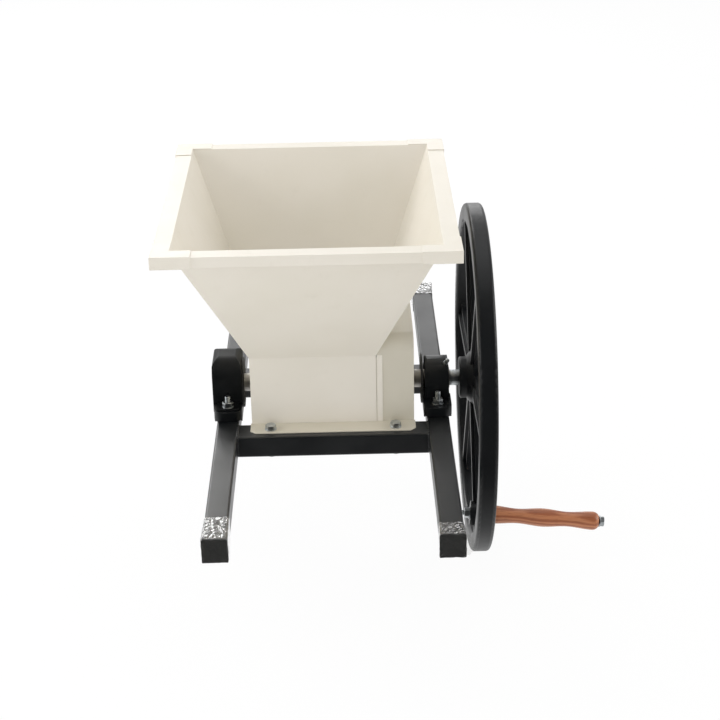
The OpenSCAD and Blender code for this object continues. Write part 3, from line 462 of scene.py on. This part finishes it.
# smudges from handling, some tens of millimetres across
smudge = add(tree, "TexNoise", {"Vector": place.outputs["Object"], "Scale": 38, "Detail": 7,
                                "Roughness": 0.7})
amount = add(tree, "MapRange", {"Value": smudge.outputs["Fac"], "From Min": 0.58,
                                "From Max": 0.8, "To Max": 0.18})
coat_tone = add(tree, "Mix", {0: amount.outputs[0], 6: tone.outputs["Color"],
                              7: linear("#cdc5b4")}, data_type="RGBA")
# peel of the powder coat, about 2 mm across, and the sheet's own waves of some 110 mm
peel = add(tree, "TexNoise", {"Vector": place.outputs["Object"], "Scale": 480, "Detail": 2})
wave = add(tree, "TexNoise", {"Vector": place.outputs["Object"], "Scale": 9, "Detail": 1})
bump = add(tree, "Bump", {"Height": peel.outputs["Fac"], "Strength": 0.1, "Distance": 0.0004})
bump = add(tree, "Bump", {"Height": wave.outputs["Fac"], "Strength": 0.25, "Distance": 0.004,
                          "Normal": bump.outputs[0]})
gloss = add(tree, "MapRange", {"Value": smudge.outputs["Fac"], "From Min": 0.3,
                               "From Max": 0.75, "To Min": 0.34, "To Max": 0.5})
coat = add(tree, "BsdfPrincipled", {"Base Color": coat_tone.outputs[2],
           "Roughness": gloss.outputs[0], "Normal": bump.outputs[0], "IOR": 1.5})
add(tree, "OutputMaterial", {"Surface": coat.outputs[0]})
sheets = ["housing_front_plate", "housing_rear_plate", "housing_side_left",
          "housing_side_right", "chamber_cover", "hopper_front_panel", "hopper_rear_panel",
          "hopper_left_wall", "hopper_right_wall", "throat_edge_strips", "rim_corner_caps",
          "feed_deflector"]
dress(sheets, cream)
# the plates round the drum carry the same coat in a deeper tone: painted shade, standing in for
# the shade that falls on them
shaded_cream = cream.copy()
shaded_cream.name = "cream_powder_coat_darkened_as_painted_shade"
# both ends of the tone are darkened to paint that shade onto the plates
for node in shaded_cream.node_tree.nodes:
    if node.type == "VALTORGB":
        node.color_ramp.elements[0].color = linear("#cfc9b8")
        node.color_ramp.elements[1].color = linear("#d8d2c2")
dress(["chamber_cover", "housing_front_plate", "housing_rear_plate", "housing_side_left",
       "housing_side_right"], shaded_cream)
# cut and folded edges; finer where a strip or lap leaves only a narrow groove
cut_edge, lap_edge = 0.0005, 0.00012
for name in sheets:
    soften(name, lap_edge if name in ("throat_edge_strips", "chamber_cover") else cut_edge)


# Fasteners
# Hexagon bolts and nuts, cold formed with rolled threads, and punched washers, all zinc
# plated. The plating is bright with a cool tint and goes cloudy where it has been handled.
zinc, tree = new_material("bright_zinc_plated_steel")
place = add(tree, "TexCoord")
# cloudy patches about 7 mm across, which also dull the shine
cloud = add(tree, "TexNoise", {"Vector": place.outputs["Object"], "Scale": 140, "Detail": 5})
tone = add(tree, "ValToRGB", {"Fac": cloud.outputs["Fac"]})
tone.color_ramp.elements[0].position = 0.3
tone.color_ramp.elements[0].color = linear("#a9aeb0")
tone.color_ramp.elements[1].position = 0.7
tone.color_ramp.elements[1].color = linear("#d6dadb")
gloss = add(tree, "MapRange", {"Value": cloud.outputs["Fac"], "To Min": 0.22, "To Max": 0.45})
plate = add(tree, "BsdfPrincipled", {"Base Color": tone.outputs["Color"], "Metallic": 1.0,
                                     "Roughness": gloss.outputs[0]})
add(tree, "OutputMaterial", {"Surface": plate.outputs[0]})
# the toothed bars and pins of the drum, the nipples and the hub's small parts are plated too
dress(["grease_nipples", "drum_pins", "blade_bars", "hub_spacer", "flywheel_key",
       "hub_end_washer"], zinc)
turned_edge = 0.0003
for name in ("grease_nipples", "hub_spacer", "hub_end_washer"):
    soften(name, turned_edge)


def turned(profile, sides=40):
    """A solid turned about Z, from radius and height pairs: a disc, extruded and scaled."""
    start_mesh()
    bpy.ops.mesh.primitive_circle_add(vertices=sides, radius=profile[0][0], fill_type="NGON",
                                      location=(0, 0, profile[0][1]))
    piece = bpy.context.object
    bpy.ops.object.mode_set(mode="EDIT")
    bpy.ops.mesh.select_all(action="SELECT")
    for (r0, z0), (r1, z1) in zip(profile, profile[1:]):
        bpy.ops.mesh.extrude_region_move(TRANSFORM_OT_translate={"value": (0, 0, z1 - z0)})
        bpy.ops.transform.resize(value=(r1 / r0, r1 / r0, 1))
    bpy.ops.mesh.select_all(action="SELECT")
    bpy.ops.mesh.normals_make_consistent(inside=False)
    bpy.ops.object.mode_set(mode="OBJECT")
    bpy.ops.object.transform_apply(location=True, rotation=True, scale=True)
    return piece


def cut(piece, tool, operation):
    """Applies a boolean with a tool, and deletes the tool."""
    start_mesh()
    piece.select_set(True)
    bpy.context.view_layer.objects.active = piece
    shape = piece.modifiers.new("cut", "BOOLEAN")
    shape.object, shape.operation, shape.solver = tool, operation, "EXACT"
    bpy.ops.object.modifier_apply(modifier="cut")
    bpy.data.objects.remove(tool, do_unlink=True)
    return piece


# width over the flats, height of a head and height of a nut, as shares of the thread's size;
# how thick a washer is, and how far a cutting tool reaches past what it cuts
flats, head_h, nut_h = 1.6, 0.65, 0.8
thick, past = 0.0016, 0.0001


def hexagon(d, height, both):
    """A hexagon prism with its corners turned off at 30 degrees, above and, if both, below."""
    corner = flats * d / 2 / math.cos(math.radians(30))
    # the cone that takes them off runs from outside the corners to a ring inside the flats
    rim, land = corner + 0.0002, flats * d / 2 * 0.95
    drop = (rim - land) * math.tan(math.radians(30))
    piece = turned([(corner, 0), (corner, height)], 6)
    ends = [(land, 0), (rim, drop)] if both else [(rim, -past)]
    return cut(piece, turned(ends + [(rim, height - drop), (land, height)], 48), "INTERSECT")


def hex_bolt(d, length, thread, pitch):
    """A bolt with its head above z = 0 and its shank below. The thread is drawn as rings."""
    # depth of the thread, and the pointed end: its height, and how much slimmer it gets
    groove, point, slim = 0.6 * pitch, 0.0007, 0.0008
    hair, entered = 0.0001, 0.0004
    z = -length + point
    profile = [(d / 2 - slim, -length), (d / 2 - hair, z)]
    while z < -length + thread:
        profile += [(d / 2 - groove, z + pitch / 2), (d / 2, z + pitch)]
        z += pitch
    # the shank is entered a little way into the head, so that the two fuse
    profile += [(d / 2, entered)]
    return cut(hexagon(d, head_h * d, False), turned(profile), "UNION")


def hex_nut(d):
    """A nut above z = 0, chamfered on both sides and round its bore."""
    wide, chamfer, height = d / 2 + 0.0006, 0.0005, nut_h * d
    bore = turned([(wide, -past), (d / 2, chamfer), (d / 2, height - chamfer),
                   (wide, height + past)])
    return cut(hexagon(d, height, True), bore, "DIFFERENCE")


def washer(d):
    """A punched washer above z = 0, with its upper edge drawn in by the punch."""
    hole = d / 2 + 0.0003
    disc = turned([(d - 0.0001, 0), (d, 0.0002), (d, 0.0012), (d - 0.0004, thick)], 48)
    return cut(disc, turned([(hole, -past), (hole, thick + past)]), "DIFFERENCE")


def placed(name, piece, places, body, stands_for):
    """Copies of a piece at each of the places, joined; they stand for CAD nodes."""
    copies = []
    for matrix in places:
        start_mesh()
        piece.select_set(True)
        bpy.context.view_layer.objects.active = piece
        bpy.ops.object.duplicate(linked=False)
        copy = bpy.context.object
        copy.matrix_world = matrix
        copies.append(copy)
    bpy.data.objects.remove(piece, do_unlink=True)
    whole = join(name, copies)
    bpy.ops.object.shade_smooth_by_angle(angle=math.radians(25))
    whole.data.materials.append(zinc)
    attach(whole, body)
    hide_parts(*stands_for)


def at(x, y, z, turn=0, down=False):
    """A place, turned about its axis by degrees, and head down if asked."""
    flip = Matrix.Rotation(math.pi, 4, "X") if down else Matrix()
    return Matrix.Translation((x, y, z)) @ flip @ Matrix.Rotation(math.radians(turn), 4, "Z")


# block bolts: heads inside the rails, nuts on the blocks' feet; the left foot carries the
# guard, so its nuts sit higher. Most heads and nuts stand at a turn of their own.
m8, m8_pitch, thread = 0.008, 0.00125, 0.022
block_bolt, bolt_y, head_seat, foot_seat = 0.034, 0.0475, 0.028, {-1: 0.046, 1: 0.044}
feet = [(sx, sy) for sx in (-1, 1) for sy in (-1, 1)]
placed("block_bolts_threaded", hex_bolt(m8, block_bolt, thread, m8_pitch),
       [at(sx * rail_x, sy * bolt_y, head_seat, 30, True) for sx, sy in feet], "frame",
       ["block_bolts"])
placed("block_nuts_chamfered", hex_nut(m8),
       [at(sx * rail_x, sy * bolt_y, foot_seat[sx] + thick, 17 * sx + 9 * sy)
        for sx, sy in feet], "frame", ["block_nuts"])
placed("block_washers_punched", washer(m8),
       [at(sx * rail_x, sy * bolt_y, foot_seat[sx]) for sx, sy in feet], "frame",
       ["block_washers"])

# flange bolts: through the flange and the cross tube, with a washer at both ends
flange_bolt, flange_x, flange_y, flange_z = 0.0427, 0.0845, 0.089, 0.0315
placed("flange_bolts_threaded", hex_bolt(m8, flange_bolt, thread, m8_pitch),
       [at(sx * flange_x, sy * flange_y, flange_z + thick, 12 + 31 * sx + 8 * sy)
        for sx, sy in feet], "frame", ["housing_bolts"])
placed("flange_nuts_chamfered", hex_nut(m8),
       [at(sx * flange_x, sy * flange_y, -thick, 10 * sx, True) for sx, sy in feet],
       "frame", ["housing_nuts"])
placed("flange_washers_punched", washer(m8),
       [at(sx * flange_x, sy * flange_y, flange_z) for sx, sy in feet]
       + [at(sx * flange_x, sy * flange_y, 0, 0, True) for sx, sy in feet],
       "frame", ["housing_washers"])

# comb screws: M6, from outside through the rear plate
m6, m6_pitch, comb_screw, comb_thread = 0.006, 0.001, 0.008, 0.007
comb_y, comb_z, comb_step = 0.071, 0.0452, 0.05
placed("comb_screws_threaded", hex_bolt(m6, comb_screw, comb_thread, m6_pitch),
       [Matrix.Translation((k * comb_step, comb_y, comb_z))
        @ Matrix.Rotation(math.radians(-90), 4, "X") @ Matrix.Rotation(k, 4, "Z")
        for k in (-1.5, -0.5, 0.5, 1.5)], "frame", ["comb_screws"])

# handle bolt: on a spoke at handle_swing, handle_r from the axis, leaning out by handle_lean
axis_z, wheel_x, handle_r = 0.0602, 0.1985, 0.190
handle_swing, handle_lean = math.radians(240), math.radians(5)
quarter = math.radians(90)
handle = (Matrix.Translation((wheel_x, 0, axis_z)) @ Matrix.Rotation(handle_swing, 4, "X")
          @ Matrix.Rotation(quarter, 4, "Z") @ Matrix.Rotation(quarter, 4, "X")
          @ Matrix.Translation((handle_r, 0, 0)) @ Matrix.Rotation(handle_lean, 4, "Y"))
handle_bolt, nut_seat, grip_seat, cap_seat = 0.1918, -0.0141, 0.0125, 0.1667
placed("handle_bolt_threaded", hex_bolt(m8, handle_bolt, thread, m8_pitch),
       [handle @ at(0, 0, cap_seat + thick, 8)], "rotor", ["handle_bolt"])
placed("handle_nut_chamfered", hex_nut(m8), [handle @ at(0, 0, nut_seat, 21, True)],
       "rotor", ["handle_nut"])
placed("handle_washers_punched", washer(m8),
       [handle @ at(0, 0, z) for z in (nut_seat, grip_seat, cap_seat)], "rotor",
       ["handle_washers"])

# hub end bolt: along the shaft's axis, into its end
end_bolt, end_thread, end_seat_x = 0.025, 0.02, 0.22405
placed("hub_end_bolt_threaded", hex_bolt(m8, end_bolt, end_thread, m8_pitch),
       [Matrix.Translation((end_seat_x, 0, axis_z)) @ Matrix.Rotation(quarter, 4, "Y")],
       "rotor", ["hub_end_bolt"])


# Shaft, drum, comb and bearing rings
# Turned and welded mild steel, left bare, with fine turning rings and a film of oil that makes
# it uneven and a little brown. The bearings' ground and greased rings and balls share it.
steel, tree = new_material("turned_mild_steel_oiled")
place = add(tree, "TexCoord")
# turning marks round the axis, drawn as rings about 1 mm apart; the real ones are finer
rings = add(tree, "TexWave", {"Vector": place.outputs["Object"], "Scale": 260,
                              "Distortion": 0.4}, wave_type="BANDS", bands_direction="X")
# oil stains about 20 mm across, which dull the shine too
stain = add(tree, "TexNoise", {"Vector": place.outputs["Object"], "Scale": 45, "Detail": 6})
tone = add(tree, "ValToRGB", {"Fac": stain.outputs["Fac"]})
tone.color_ramp.elements[0].position = 0.35
tone.color_ramp.elements[0].color = linear("#b3afa8")
tone.color_ramp.elements[1].position = 0.68
tone.color_ramp.elements[1].color = linear("#d3d1cc")
gloss = add(tree, "MapRange", {"Value": stain.outputs["Fac"], "To Min": 0.4, "To Max": 0.6})
bump = add(tree, "Bump", {"Height": rings.outputs["Fac"], "Strength": 0.08, "Distance": 0.0002})
metal = add(tree, "BsdfPrincipled", {"Base Color": tone.outputs["Color"], "Metallic": 1.0,
            "Roughness": gloss.outputs[0], "Normal": bump.outputs[0]})
add(tree, "OutputMaterial", {"Surface": metal.outputs[0]})
dress(["breaker_comb", "shaft", "drum_tube", "drum_end_discs", "bearing_outer_rings",
       "bearing_inner_rings", "bearing_balls_left", "bearing_balls_right"], steel)


# Bearing blocks and flywheel
# Grey iron castings under thick semi-gloss black enamel. The sand of the mould shows through
# as a coarse unevenness, and the paint rounds the blocks' edges.
casting, tree = new_material("semi_gloss_black_enamel_on_cast_iron")
place = add(tree, "TexCoord")
# sand grain of about 2.5 mm under the paint, and lumps of some 17 mm
sand = add(tree, "TexNoise", {"Vector": place.outputs["Object"], "Scale": 420, "Detail": 4})
lumpy = add(tree, "TexNoise", {"Vector": place.outputs["Object"], "Scale": 60, "Detail": 2})
bump = add(tree, "Bump", {"Height": sand.outputs["Fac"], "Strength": 0.22, "Distance": 0.0004})
bump = add(tree, "Bump", {"Height": lumpy.outputs["Fac"], "Strength": 0.2, "Distance": 0.001,
                          "Normal": bump.outputs[0]})
# dust and handling, in patches of 80 mm
dust = add(tree, "TexNoise", {"Vector": place.outputs["Object"], "Scale": 12, "Detail": 7,
                              "Roughness": 0.65})
tone = add(tree, "ValToRGB", {"Fac": dust.outputs["Fac"]})
tone.color_ramp.elements[0].position = 0.35
tone.color_ramp.elements[0].color = linear("#0f1113")
tone.color_ramp.elements[1].position = 0.75
tone.color_ramp.elements[1].color = linear("#17191b")
gloss = add(tree, "MapRange", {"Value": dust.outputs["Fac"], "From Min": 0.3, "From Max": 0.7,
                               "To Min": 0.3, "To Max": 0.44})
paint = add(tree, "BsdfPrincipled", {"Base Color": tone.outputs["Color"],
            "Roughness": gloss.outputs[0], "Normal": bump.outputs[0], "IOR": 1.5,
            "Specular IOR Level": 0.4})
add(tree, "OutputMaterial", {"Surface": paint.outputs[0]})
dress(["bearing_block_left", "bearing_block_right", "flywheel"], casting)
cast_edge = 0.0012
for name in ("bearing_block_left", "bearing_block_right"):
    soften(name, cast_edge)


# Bearing guard
# A hood of black plastic, moulded with a satin skin that shows few highlights. It covers the
# left bearing and the end of the shaft, and its ears are held under the block's nuts.
hood, tree = new_material("satin_black_moulded_polypropylene")
place = add(tree, "TexCoord")
# faint haze from handling, about 18 mm across, in tone and shine
haze = add(tree, "TexNoise", {"Vector": place.outputs["Object"], "Scale": 55, "Detail": 5})
tone = add(tree, "ValToRGB", {"Fac": haze.outputs["Fac"]})
tone.color_ramp.elements[0].position = 0.35
tone.color_ramp.elements[0].color = linear("#0c0e0f")
tone.color_ramp.elements[1].position = 0.7
tone.color_ramp.elements[1].color = linear("#131516")
gloss = add(tree, "MapRange", {"Value": haze.outputs["Fac"], "To Min": 0.45, "To Max": 0.65})
shell = add(tree, "BsdfPrincipled", {"Base Color": tone.outputs["Color"],
            "Roughness": gloss.outputs[0], "IOR": 1.49, "Specular IOR Level": 0.25})
add(tree, "OutputMaterial", {"Surface": shell.outputs[0]})
# its edges stay sharp: softening them lays a face across the hood, into the bearing's balls
dress(["bearing_guard"], hood)


# Seals, cages and slinger discs
# Black nitrile and nylon, moulded with a dull skin that hardly shines. The bearings' set
# screws, of black oxide steel, are as dull and share it.
rubber, tree = new_material("black_nitrile_seal")
place = add(tree, "TexCoord")
# grain of the mould, about 1.5 mm across, coarser than the real one
grain = add(tree, "TexNoise", {"Vector": place.outputs["Object"], "Scale": 700, "Detail": 4})
tone = add(tree, "ValToRGB", {"Fac": grain.outputs["Fac"]})
tone.color_ramp.elements[0].color = linear("#151515")
tone.color_ramp.elements[1].color = linear("#242424")
bump = add(tree, "Bump", {"Height": grain.outputs["Fac"], "Strength": 0.2, "Distance": 0.0002})
skin = add(tree, "BsdfPrincipled", {"Base Color": tone.outputs["Color"], "Roughness": 0.6,
                                    "Normal": bump.outputs[0], "IOR": 1.52})
add(tree, "OutputMaterial", {"Surface": skin.outputs[0]})
dress(["bearing_cage_left", "bearing_cage_right", "bearing_shields", "slinger_discs",
       "bearing_set_screws"], rubber)


# Handle grip
# Beech turned on a lathe and dipped in clear varnish, free to turn on its bolt. The grain
# runs along it with darker flecks, and the varnish gives a soft shine.
beech, tree = new_material("turned_beech_clear_varnish")
place = add(tree, "TexCoord")
# the grain is laid along the grip's own line, from its middle
low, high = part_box("handle_grip")
along = Vector((math.cos(handle_lean), math.sin(handle_lean) * math.cos(handle_swing),
                math.sin(handle_lean) * math.sin(handle_swing)))
turn = along.to_track_quat("Z", "X").to_matrix().to_4x4()
lay = (Matrix.Translation((low + high) / 2) @ turn).inverted()
straight = add(tree, "Mapping", {"Vector": place.outputs["Object"], "Location": lay.translation,
                                 "Rotation": lay.to_euler("XYZ")}, vector_type="POINT")
# growth rings cut along: bands about 3 mm wide, drawn out along the grip
pull = add(tree, "Mapping", {"Vector": straight.outputs[0], "Scale": (1.0, 1.0, 0.06)})
bend = add(tree, "TexNoise", {"Vector": pull.outputs[0], "Scale": 60, "Detail": 3})
shift = add(tree, "Mix", {0: 0.02, 4: pull.outputs[0], 5: bend.outputs["Color"]},
            data_type="VECTOR")
bands = add(tree, "TexWave", {"Vector": shift.outputs[1], "Scale": 48, "Distortion": 3.5,
                              "Detail": 2}, wave_type="BANDS", bands_direction="X")
fleck = add(tree, "TexNoise", {"Vector": pull.outputs[0], "Scale": 900, "Detail": 5})
tone = add(tree, "ValToRGB", {"Fac": bands.outputs["Fac"]})
tone.color_ramp.elements[0].position = 0.15
tone.color_ramp.elements[0].color = linear("#9d5a37")
tone.color_ramp.elements[1].position = 0.85
tone.color_ramp.elements[1].color = linear("#bd7a52")
flecks = add(tree, "MapRange", {"Value": fleck.outputs["Fac"], "From Min": 0.52,
                                "From Max": 0.72, "To Max": 0.5})
wood_tone = add(tree, "Mix", {0: flecks.outputs[0], 6: tone.outputs["Color"],
                              7: linear("#7a4526")}, data_type="RGBA")
bump = add(tree, "Bump", {"Height": fleck.outputs["Fac"], "Strength": 0.12, "Distance": 0.0003})
varnish = add(tree, "BsdfPrincipled", {"Base Color": wood_tone.outputs[2], "Roughness": 0.42,
              "Normal": bump.outputs[0], "IOR": 1.5, "Coat Weight": 0.35,
              "Coat Roughness": 0.2})
add(tree, "OutputMaterial", {"Surface": varnish.outputs[0]})
dress(["handle_grip"], beech)
